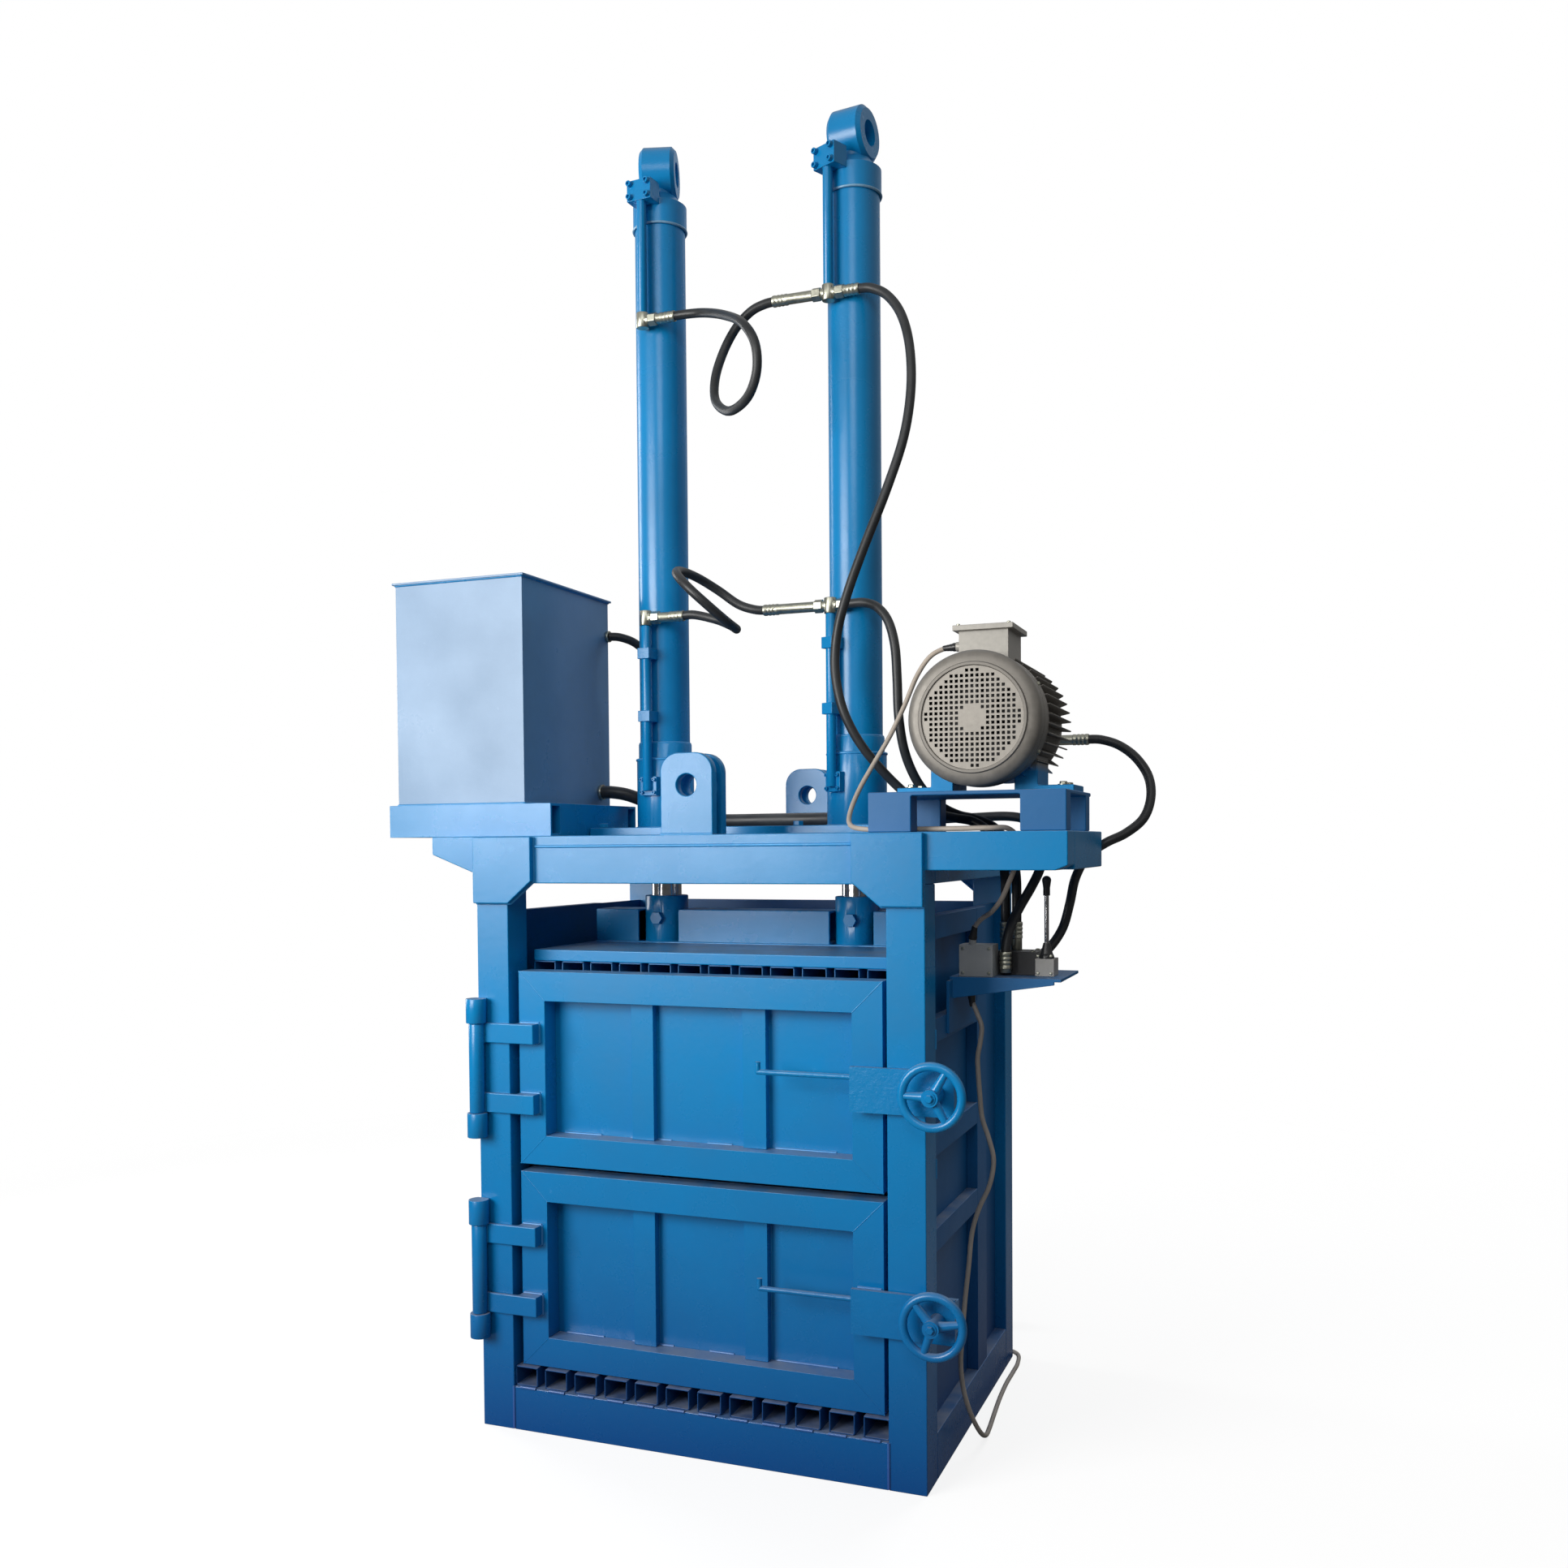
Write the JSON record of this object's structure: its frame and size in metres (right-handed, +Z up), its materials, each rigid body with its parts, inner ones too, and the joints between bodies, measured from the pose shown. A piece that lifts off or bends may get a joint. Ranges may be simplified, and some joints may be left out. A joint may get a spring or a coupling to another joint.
{
  "type": "vertical baling press",
  "caption": "Upright hydraulic baling press with a box frame, front doors closed by handwheel screws, a tubed platen on piston rods, and a tank, motor and pump on top.",
  "frame": {"origin": "on the floor, under the middle of the machine without its loose hoses and cables", "axes": "+Z up along the cylinders, -Y towards the doors, +X towards the motor"},
  "size_m": [2.1205, 1.4411, 3.7099],
  "materials": {
    "blue_paint": "azure blue brushed enamel, satin, dusty on ledges",
    "dark_blue_paint": "darker blue enamel, dull",
    "motor_grey": "silver grey paint over cast fins",
    "zinc_steel": "zinc plated, slightly dull",
    "chrome": "hard chrome, polished",
    "black_cast_iron": "black painted casting",
    "black_plastic": "matt black",
    "grey_plastic": "light grey, satin",
    "black_rubber": "smooth black hose cover",
    "grey_rubber": "grey cable sheath, dusty"
  },
  "bodies": {
    "frame": {"base_frame": "blue_paint", "floor_tubes": "dark_blue_paint", "columns": "blue_paint", "chamber_walls": "dark_blue_paint", "wall_ribs": "dark_blue_paint", "cross_beams": "blue_paint", "top_girders": "blue_paint", "deck_plate": "blue_paint", "deck_bolts": "blue_paint", "corner_gussets": "blue_paint", "lifting_lugs": "blue_paint", "tank_tray": "dark_blue_paint", "oil_tank": "blue_paint", "tank_lid": "blue_paint", "motor_base": "dark_blue_paint", "motor_frame": "motor_grey", "fan_cover": "motor_grey", "terminal_box": "motor_grey", "bell_housing": "motor_grey", "pump": "dark_blue_paint", "barrels": "blue_paint", "glands": "blue_paint", "cylinder_pipes": "blue_paint", "hose_fittings": "zinc_steel", "valve_shelf": "dark_blue_paint", "valve_body": "black_cast_iron", "switch_box": "grey_plastic", "hinge_knuckles": "blue_paint", "lock_nuts": "blue_paint", "upper_link_hose": "black_rubber", "lower_link_hose": "black_rubber", "upper_feed_hose": "black_rubber", "lower_feed_hose": "black_rubber", "pump_hose": "black_rubber", "return_hose": "black_rubber", "suction_hose": "black_rubber", "motor_cable": "grey_rubber", "supply_cable": "grey_rubber", "supply_coil": "grey_rubber", "supply_plug": "black_plastic"},
    "platen": {"platen_plate": "blue_paint", "platen_tubes": "dark_blue_paint", "platen_beam": "blue_paint", "rod_sockets": "blue_paint", "socket_bolts": "zinc_steel", "piston_rods": "chrome"},
    "upper_door": {"upper_door_frame": "blue_paint", "upper_door_panel": "blue_paint", "upper_hinge_straps": "blue_paint", "upper_lock_plate": "blue_paint"},
    "lower_door": {"lower_door_frame": "blue_paint", "lower_door_panel": "blue_paint", "lower_hinge_straps": "blue_paint", "lower_lock_plate": "blue_paint"},
    "upper_wheel": {"upper_handwheel": "blue_paint"},
    "lower_wheel": {"lower_handwheel": "blue_paint"},
    "motor_rotor": {"rotor": "zinc_steel", "cooling_fan": "black_plastic"},
    "lever": {"valve_lever": "chrome", "lever_knob_boot": "black_plastic"}
  },
  "joints": [
    {"name": "platen_slide", "type": "slide", "parent": "frame", "child": "platen", "axis": [0, 0, -1], "range_m": [0, 1]},
    {"name": "upper_door_hinge", "type": "hinge", "parent": "frame", "child": "upper_door", "pos_m": [-0.637, -0.503, 1.014], "axis": [0, 0, -1], "range_deg": [0, 150]},
    {"name": "lower_door_hinge", "type": "hinge", "parent": "frame", "child": "lower_door", "pos_m": [-0.637, -0.503, 0.452], "axis": [0, 0, -1], "range_deg": [0, 150]},
    {"name": "upper_wheel_turn", "type": "hinge", "parent": "upper_door", "child": "upper_wheel", "pos_m": [0.677, -0.54, 1.014], "axis": [0, -1, 0], "continuous": true},
    {"name": "lower_wheel_turn", "type": "hinge", "parent": "lower_door", "child": "lower_wheel", "pos_m": [0.677, -0.54, 0.452], "axis": [0, -1, 0], "continuous": true},
    {"name": "rotor_turn", "type": "hinge", "parent": "frame", "child": "motor_rotor", "pos_m": [0.741, -0.1, 1.942], "axis": [0, 1, 0], "continuous": true},
    {"name": "lever_tilt", "type": "hinge", "parent": "frame", "child": "lever", "pos_m": [0.88, -0.13, 1.324], "axis": [0, 1, 0], "range_deg": [-15, 15], "stiffness_Nm_per_rad": 4}
  ]
}
